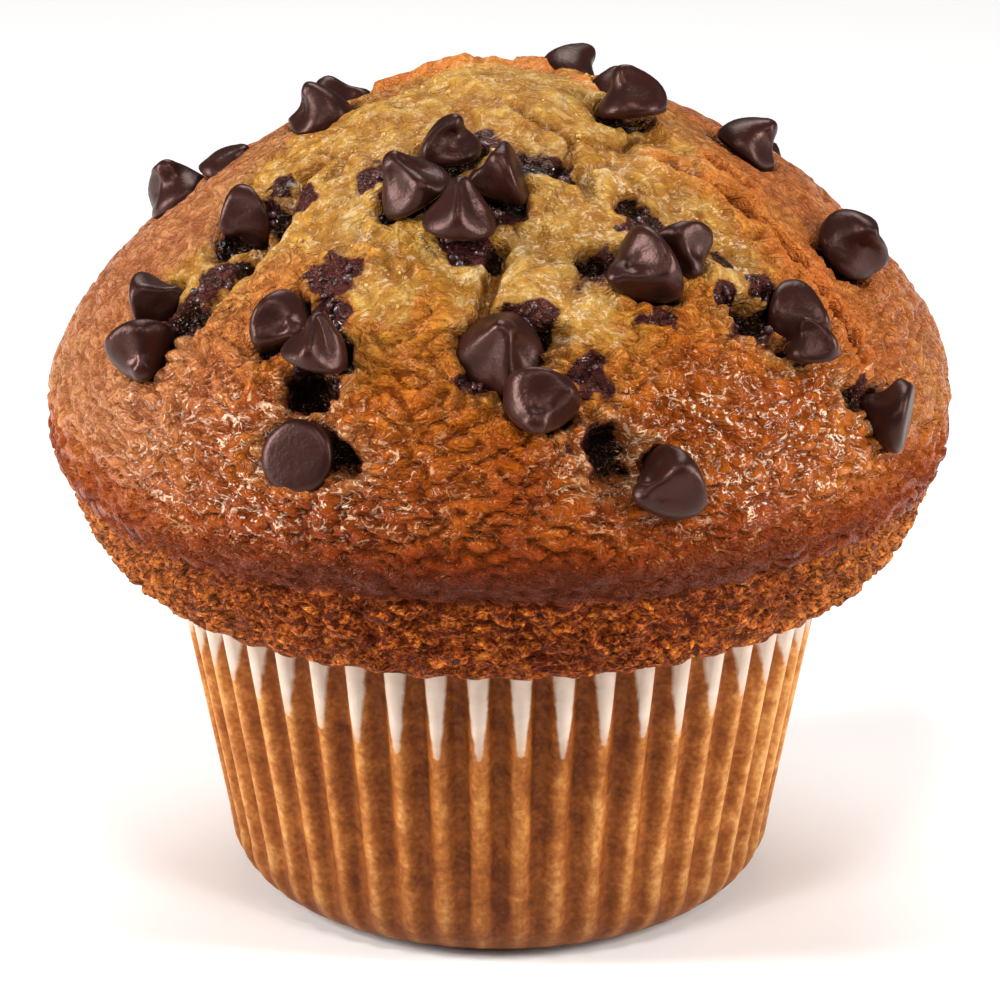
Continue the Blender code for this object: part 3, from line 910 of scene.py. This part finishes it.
# %% [markdown]
# ## Glints and melted chocolate
# The wrinkles catch tiny bright highlights. A bump alone gives few of them under soft light, so thin painted
# highlights lie along the lower edge of the cracks, nearly white in gloss and gold elsewhere.
# Melted chocolate covers all of that, with a faint brown stain round it and an edge frayed by noise.

# %% Glints and chocolate
# Painted highlights: thin pale lines just below the cracks.
low_edge = stretched(place, 1.0, 1.0, 1.5, 0.00026)
painted_glint_rims = calc("MAXIMUM", remap(crackle(low_edge, 0.0030, 1.4), 0.27, 0.07),
            times(remap(crackle(low_edge, 0.0013, 1.2), 0.20, 0.04), 0.6))
glint_share = times(painted_glint_rims, remap(grain(place, 0.0011, 2.0, 1.0), 0.50, 0.57), mask["glint"],
                    remap(grain(place, 0.0042, 1.0, 0.5), 0.40, 0.60, 0.50, 1.0))
# The painted highlights are nearly white in gloss and on torn crumb, and gold elsewhere.
glint_colour = mix(calc("MAXIMUM", mask["gloss"], mask["torn"]), (240, 160, 74), (255, 224, 192))
colour = mix(glint_share, colour, glint_colour)

melt_colour = mix(remap(flecks, 0.35, 0.68), (34, 18, 20), (88, 40, 38))
# Melted chocolate is painted near black in deep places, as painted shade.
melt_colour = mix(remap(mask["cavity_shade"], 0.30, 0.90), melt_colour, (20, 8, 6))
melt_share = remap(plus(mask["melt"], swing(flecks, 1.1)), 0.35, 0.60)
colour = mix(remap(mask["melt"], 0.02, 0.45, 0.0, 0.30), colour, (112, 60, 34))
colour = mix(melt_share, colour, melt_colour)
print("with glints and chocolate:", len(tree.nodes), "nodes")

# %% [markdown]
# ## Gloss of the cake
# The crust is smooth and the crumb is rougher. A clear coat adds the wet look of glossy places and of
# melted chocolate, but not in the cracks. A warm tint keeps the reflection of the white room from greying
# the crust.

# %% Gloss and fine relief
wet = calc("MAXIMUM", mask["gloss"], melt_share)
roughness = plus(between(wet, 0.25, 0.14), times(mask["under"], 0.35), times(mask["torn"], 0.10))
coat = times(remap(wet, 0.16, 1.0, 0.0, 0.8), remap(plate_value, 0.55, 0.95))
crack_depth = times(plate_value, between(crust_value, 0.45, 1.0), between(crust_value, 1.3, 0.8))
waves = grain(stretched(place, 1.0, 1.0, 1.6), 0.0016, 1.5, 0.8)
feed(shader, ("Base Color", colour), ("Roughness", roughness), ("Specular IOR Level", 0.22),
     ("Specular Tint", (1.0, 0.52, 0.22, 1.0)), ("Coat Weight", coat), ("Coat Roughness", 0.13),
     ("Normal", bump(plus(crack_depth, waves), 1.0, 0.00045)))


def show(name, mesh, material, slot_name, *nodes):
    """Put a finished mesh in the scene, riding on the model in place of its solids."""
    for polygon in mesh.polygons:
        polygon.use_smooth = True
    mesh.materials.append(material)
    piece = add_object(name, mesh)
    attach(piece, "root")
    if nodes:
        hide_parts(*nodes)
    return piece


show("cake", cake_mesh, cake_finish, "crumb", "crumb")
print("cake has", len(cake_mesh.polygons), "faces")

# %% [markdown]
# ## Chocolate chips
# A chip is a drop of chocolate set down from a nozzle: a wide foot with a rounded edge, a flank that draws
# in, and a soft tip that falls to one side. In the oven its flank slumps into a fold or two. The drop is a
# spun outline. Its axis is then bent towards the tip's side, and the flank is raised along one line and
# hollowed beside it. Some folds are listed, as a turn, a depth and a curl of the tip, and the others are
# drawn at random. One chip has sunk into its tear.

# %% Spin an outline
def spun(points, steps, name):
    """A mesh turned round the upright axis, from points that run from one pole to the other or to an edge."""
    shape = bmesh.new()
    verts = [shape.verts.new(point) for point in points]
    edges = [shape.edges.new(pair) for pair in zip(verts, verts[1:])]
    bmesh.ops.spin(shape, geom=verts + edges, cent=(0, 0, 0), axis=(0, 0, 1), angle=math.tau,
                   steps=steps, use_merge=True)
    bmesh.ops.remove_doubles(shape, verts=shape.verts[:], dist=MERGE)
    bmesh.ops.recalc_face_normals(shape, faces=shape.faces[:])
    return keep_mesh(shape, name)


print("ready to spin, merging points closer than", MERGE, "m")

# %% Make one chip
CHIP_TURNS = 44
AXIS_STEPS = 59
BEND_POWER = 2.4
SUNK_MM = {"chip_rift_1": 1.2}
SUNK_HEIGHT = 0.7
FOLDS = {
    "chip_crown_1": (-0.5, 0.34, 1.70), "chip_crown_2": (0.4, 0.40, 0.60), "chip_crown_3": (0.1, 0.30, 0.50),
    "chip_crown_4": (0.6, 0.26, 0.90), "chip_front_1": (0.2, 0.46, 0.60), "chip_front_2": (-0.6, 0.30, 1.10),
    "chip_bright_1": (-0.3, 0.34, 1.30), "chip_bright_2": (0.7, 0.30, 1.10), "chip_nest_2": (0.3, 0.40, 1.00),
    "chip_side_1": (-0.4, 0.34, 1.45), "chip_low_2": (0.3, 0.34, 0.90), "chip_ridge_3": (-0.6, 0.38, 1.30),
}


def bent_axis(share, curl):
    """How far the axis of a chip leans aside and how high it reaches, at each share of its length."""
    step = np.linspace(0, 1, AXIS_STEPS + 1)
    slope = curl * step[1:] ** BEND_POWER
    aside = np.concatenate(([0.0], np.cumsum(np.sin(slope)) / AXIS_STEPS))
    up = np.concatenate(([0.0], np.cumsum(np.cos(slope)) / AXIS_STEPS))
    return np.interp(share, step, aside), np.interp(share, step, up)


def fold_form(share, around, fold_angle, fold_depth):
    """How much wider a chip is at each point, for a fold with a hollow on each side and one more behind."""
    def hump(angle, width):
        gap = (around - angle + math.pi) % math.tau - math.pi
        return np.exp(-(gap / width) ** 2)

    rise = smooth(0.06, 0.55, share) * smooth(1.02, 0.80, share) * fold_depth
    return 1 + rise * (1.1 * hump(fold_angle, 0.30) - 0.9 * hump(fold_angle + 0.85, 0.50)
                       - 0.6 * hump(fold_angle - 0.90, 0.50) + 0.5 * hump(fold_angle + 2.6, 0.45))


def chip_mesh(node, number):
    """A chip in place of its solid."""
    middle, axis, side, radius, height = chips[node]
    picker = random.Random(number)
    fold_turn, fold_depth, curl = FOLDS.get(node, (
        picker.uniform(-0.9, 0.9), picker.uniform(0.20, 0.36), picker.uniform(0.55, 1.25)))
    if node in SUNK_MM:
        middle = middle - SUNK_MM[node] * MM * axis
        height *= SUNK_HEIGHT
    outward = Vector((middle.x, middle.y, 0.0)).normalized() + Vector((0.0, 0.0, 0.5))
    seen_angle = math.atan2(outward.dot(axis.cross(side)), outward.dot(side))
    mesh = spun([(radius * across, 0.0, height * share) for share, across in CHIP_OUTLINE], CHIP_TURNS, node)
    points = read_points(mesh)
    share = np.clip(points[:, 2] / height, 0.0, 1.0)
    around = np.arctan2(points[:, 1], points[:, 0])
    form = fold_form(share, around, seen_angle + fold_turn, fold_depth)
    form += 0.035 * noise_at(points + number, 0.0030) + 0.012 * noise_at(points + number, 0.0012)
    points[:, :2] *= form[:, None]
    bend = curl * share ** BEND_POWER
    aside, up = bent_axis(share, curl)
    across = points[:, 0].copy()
    points[:, 0] = height * aside * 0.9 + across * np.cos(bend)
    points[:, 2] = height * up * 1.04 - across * np.sin(bend)
    basis = Matrix((side, axis.cross(side), axis)).transposed()
    write_points(mesh, points @ np.array(basis).T + np.array(middle))
    return mesh


print(len(FOLDS), "chips have folds chosen by hand")

# %% [markdown]
# ## Finish of the chocolate
# Dark chocolate is a deep reddish brown, with cloudy patches where it melted and set again. Fine grain and
# shallow dents break up its highlights.

# %% Material of the chips
chip_finish, tree, shader, place = new_material("chocolate")
cloud = grain(place, 0.0032, 3.0, 0.4)
dents = plus(times(grain(place, 0.00030, 2.0), 0.35), grain(place, 0.0011, 2.0))
feed(shader, ("Base Color", mix(remap(cloud, 0.35, 0.70), (34, 14, 11), (50, 23, 18))),
     ("Roughness", remap(cloud, 0.30, 0.70, 0.42, 0.29)), ("Specular IOR Level", 0.38),
     ("Specular Tint", (1.0, 0.54, 0.46, 1.0)), ("Normal", bump(dents, 0.45, 0.00016)))

for number, node in enumerate(chip_nodes):
    show(node.replace("chip", "morsel"), chip_mesh(node, number), chip_finish, "chocolate", node)
print(len(chip_nodes), "chips made")

# %% [markdown]
# ## Melted chocolate and loose crumbs
# Melted chocolate stands in small rough beads, and a torn crust sheds crumbs. Each bead is a cube cut once
# and rounded, stretched and turned at random, and half sunk in the cake where the masks say that there is
# chocolate or torn crumb. All the beads of one kind are one piece.

# %% Scatter small beads on the cake
ROUGHNESS_OF_BEADS = 0.24
bead_form = cut_cube("bead", 1)


def scatter(name, chance, count, low, high, seed):
    """One mesh of small rough beads, set where chance is high. The sizes are radii in metres."""
    picker = np.random.default_rng(seed)
    chosen = picker.choice(len(place_1), size=count, p=chance / chance.sum())
    shape = bmesh.new()
    for index in chosen.tolist():
        first = len(shape.verts)
        shape.from_mesh(bead_form)
        shape.verts.ensure_lookup_table()
        verts = shape.verts[first:]
        size = low + (high - low) * picker.random() ** 2
        stretch = Vector(picker.uniform(0.6, 1.25, 3).tolist()) * size
        for vert, swell_out in zip(verts, picker.normal(1.0, ROUGHNESS_OF_BEADS, len(verts))):
            vert.co = vert.co.normalized() * swell_out
        angle = picker.uniform(0, math.tau)
        turned = Matrix.Rotation(angle, 4, Vector(picker.normal(size=3).tolist()).normalized())
        spot = Matrix.Translation(Vector((place_1[index] + facing[index] * size * 0.15).tolist()))
        bmesh.ops.transform(shape, verts=verts, matrix=spot @ turned @ Matrix.Diagonal((*stretch, 1.0)))
    bmesh.ops.recalc_face_normals(shape, faces=shape.faces[:])
    return keep_mesh(shape, name)


clear = smooth(0.0, 0.5, chip_gap_mm)
melt_chance = smooth(0.55, 0.9, melt) * clear * (hollow < 2.2)
beads = scatter("melted_chocolate", melt_chance, 130, 0.00018, 0.00062, 4)
crumb_chance = torn * clear * (1 - smooth(0.2, 0.6, melt)) * lumps
crumbs = scatter("loose_crumbs", crumb_chance, 120, 0.00010, 0.00030, 7)
print("beads of chocolate", len(beads.polygons), "and of crumb", len(crumbs.polygons))


# %% Material of the beads
def bead_material(name, dark, pale, roughness, coat):
    """A rough speckled finish for small beads."""
    material, tree, shader, place = new_material(name)
    tone = grain(place, 0.0012, 3.0)
    feed(shader, ("Base Color", mix(remap(tone, 0.35, 0.65), dark, pale)),
         ("Roughness", remap(tone, 0.3, 0.7, roughness + 0.08, roughness - 0.08)),
         ("Coat Weight", coat), ("Coat Roughness", 0.2), ("Normal", bump(tone, 0.6, 0.0002)))
    return material


melted_finish = bead_material("melted_chocolate", (44, 25, 25), (92, 48, 46), 0.36, 0.4)
crumb_finish = bead_material("loose_crumb", (196, 138, 62), (234, 196, 126), 0.5, 0.15)
show("melted_chocolate", beads, melted_finish, "chocolate")
show("loose_crumbs", crumbs, crumb_finish, "crumb")
print("beads in place")

# %% [markdown]
# ## The paper case
# A muffin case is a disc of thin greaseproof paper pressed into pleats, deep at the top and gone at the
# foot. It is spun from one outline with ten steps to each pleat, its points are drawn in along the pleats,
# each a little deeper or shallower than the next, and Solidify gives the sheet its thickness.

# %% Make the case
STEPS_PER_PLEAT = 10
BASE_RINGS = (0.0, 0.007, 0.014, 0.019)
PLEAT_SHARPNESS = 1.5
UNEVEN_PLEATS = 0.00025


def case_rows():
    """The outline of the outer face of the paper, as radius and height, from the middle of its base."""
    rows = [(radius, 0.0) for radius in BASE_RINGS]
    inner = wall_radius(CORNER_RADIUS) - CORNER_RADIUS
    for angle in np.linspace(0, 85, 9):
        turn = math.radians(angle)
        rows.append((inner + CORNER_RADIUS * math.sin(turn), CORNER_RADIUS * (1 - math.cos(turn))))
    for height in np.linspace(CORNER_RADIUS, CASE_HEIGHT, 38):
        rows.append((wall_radius(height), height))
    return rows


case_points = [(0.0, -radius, height) for radius, height in case_rows()]
paper_mesh = spun(case_points, PLEATS * STEPS_PER_PLEAT, "paper")
points = read_points(paper_mesh)
turn = np.arctan2(points[:, 0], -points[:, 1])
height = points[:, 2]
pleat_number = np.round(turn * PLEATS / math.tau - 0.5)
pleat_seed = np.stack((pleat_number * 1.7, np.zeros_like(turn), np.zeros_like(turn)), axis=1)
wave = np.cos(PLEATS * turn + 0.20 * np.sin(3 * turn) * smooth(0.010, 0.040, height))
fold = 0.5 + 0.5 * np.tanh(PLEAT_SHARPNESS * wave) / math.tanh(PLEAT_SHARPNESS)
draw_in = pleat_depth(height) * fold * smooth(0.0, 0.006, height)
uneven = UNEVEN_PLEATS * noise_at(pleat_seed, 1.0, 0.37) * smooth(0.012, 0.038, height) * (1 - fold)
radius = np.hypot(points[:, 0], points[:, 1])
points[:, :2] *= ((radius - draw_in + uneven) / np.maximum(radius, MERGE))[:, None]
write_points(paper_mesh, points)
print("paper has", len(paper_mesh.polygons), "faces on its outside")

# %% [markdown]
# ## Finish of the paper
# Butter soaks into the paper wherever the cake touches it and turns it brown. Near the top the outer folds
# stand clear of the cake and stay white, as teeth that narrow downwards. The angle round the case says how
# far a place is from the middle of its fold, and the tooth is as wide as its height allows. Noise frays its
# edge.

# %% Teeth of white paper
FRONT_RADIUS = 0.037
paper_finish, tree, shader, place = new_material("paper")
axes = add(tree, "ShaderNodeSeparateXYZ", ("Vector", place)).outputs
rise = axes["Z"]
front = calc("DIVIDE", times(axes["Y"], -1.0), FRONT_RADIUS)
front_squared = times(front, front)
around = calc("ARCTAN2", axes["X"], times(axes["Y"], -1.0))
fold_place = minus(times(around, PLEATS / math.tau), 0.5)
fold_number = calc("ROUND", fold_place)
off_fold = calc("ABSOLUTE", minus(fold_place, fold_number))
luck = add(tree, "ShaderNodeTexWhiteNoise", ("W", fold_number), noise_dimensions="1D").outputs["Value"]
stain = grain(place, 0.0022, 4.0, 0.5)

tooth_tip = plus(times(luck, 0.0014), times(front_squared, -0.0042), 0.0312)
tooth_rise = calc("DIVIDE", minus(rise, tooth_tip), minus(LIP_HEIGHT, tooth_tip))
tooth_width = plus(times(calc("POWER", calc("MAXIMUM", tooth_rise, 0.0), 0.75), 0.26), 0.03)
side_width = plus(times(front_squared, -0.70), 1.75)
tooth_edge = plus(minus(times(tooth_width, side_width), off_fold), swing(stain, 0.10),
                  remap(tooth_rise, 0.0, 0.04, -0.12, 0.0))
tooth = times(remap(tooth_edge, -0.024, 0.034), remap(tooth_rise, 0.0, 0.30, 0.45, 1.0))
print("teeth:", len(tree.nodes), "nodes")

# %% Colour and finish of the paper
fibres = grain(place, 0.0006, 3.0)
ridge = remap(off_fold, 0.34, 0.04)
# Painted light on the paper: it is lighter at the sides and to the right, and darker in front and behind. The
# ridges are lighter, partly less soaked and partly a painted highlight.
soak_and_painted_light = plus(times(stain, 0.50), times(grain(place, 0.0060, 2.0), 0.40), times(front_squared, -0.12),
            times(ridge, 0.26), swing(fibres, 0.42), remap(axes["X"], 0.010, 0.032, 0.0, 0.07))
paper_colour = ramp(soak_and_painted_light, (0.24, 100, 49, 18), (0.44, 140, 77, 30), (0.60, 172, 105, 48),
                    (0.82, 214, 156, 90))
paper_colour = mix(remap(rise, 0.0005, 0.0150, 0.55, 0.0), paper_colour, (84, 42, 22))
paper_colour = mix(tooth, paper_colour, mix(stain, (194, 170, 150), (224, 206, 192)))
feed(shader, ("Base Color", paper_colour), ("Roughness", remap(stain, 0.3, 0.7, 0.42, 0.56)),
     ("Specular IOR Level", 0.10), ("Normal", bump(fibres, 0.25, 0.00012)))

paper = show("paper", paper_mesh, paper_finish, "paper", "paper_case")
sheet = paper.modifiers.new("thickness", "SOLIDIFY")
sheet.thickness, sheet.offset, sheet.use_even_offset = PAPER, -1.0, True
print("paper is", PAPER / MM, "mm thick")
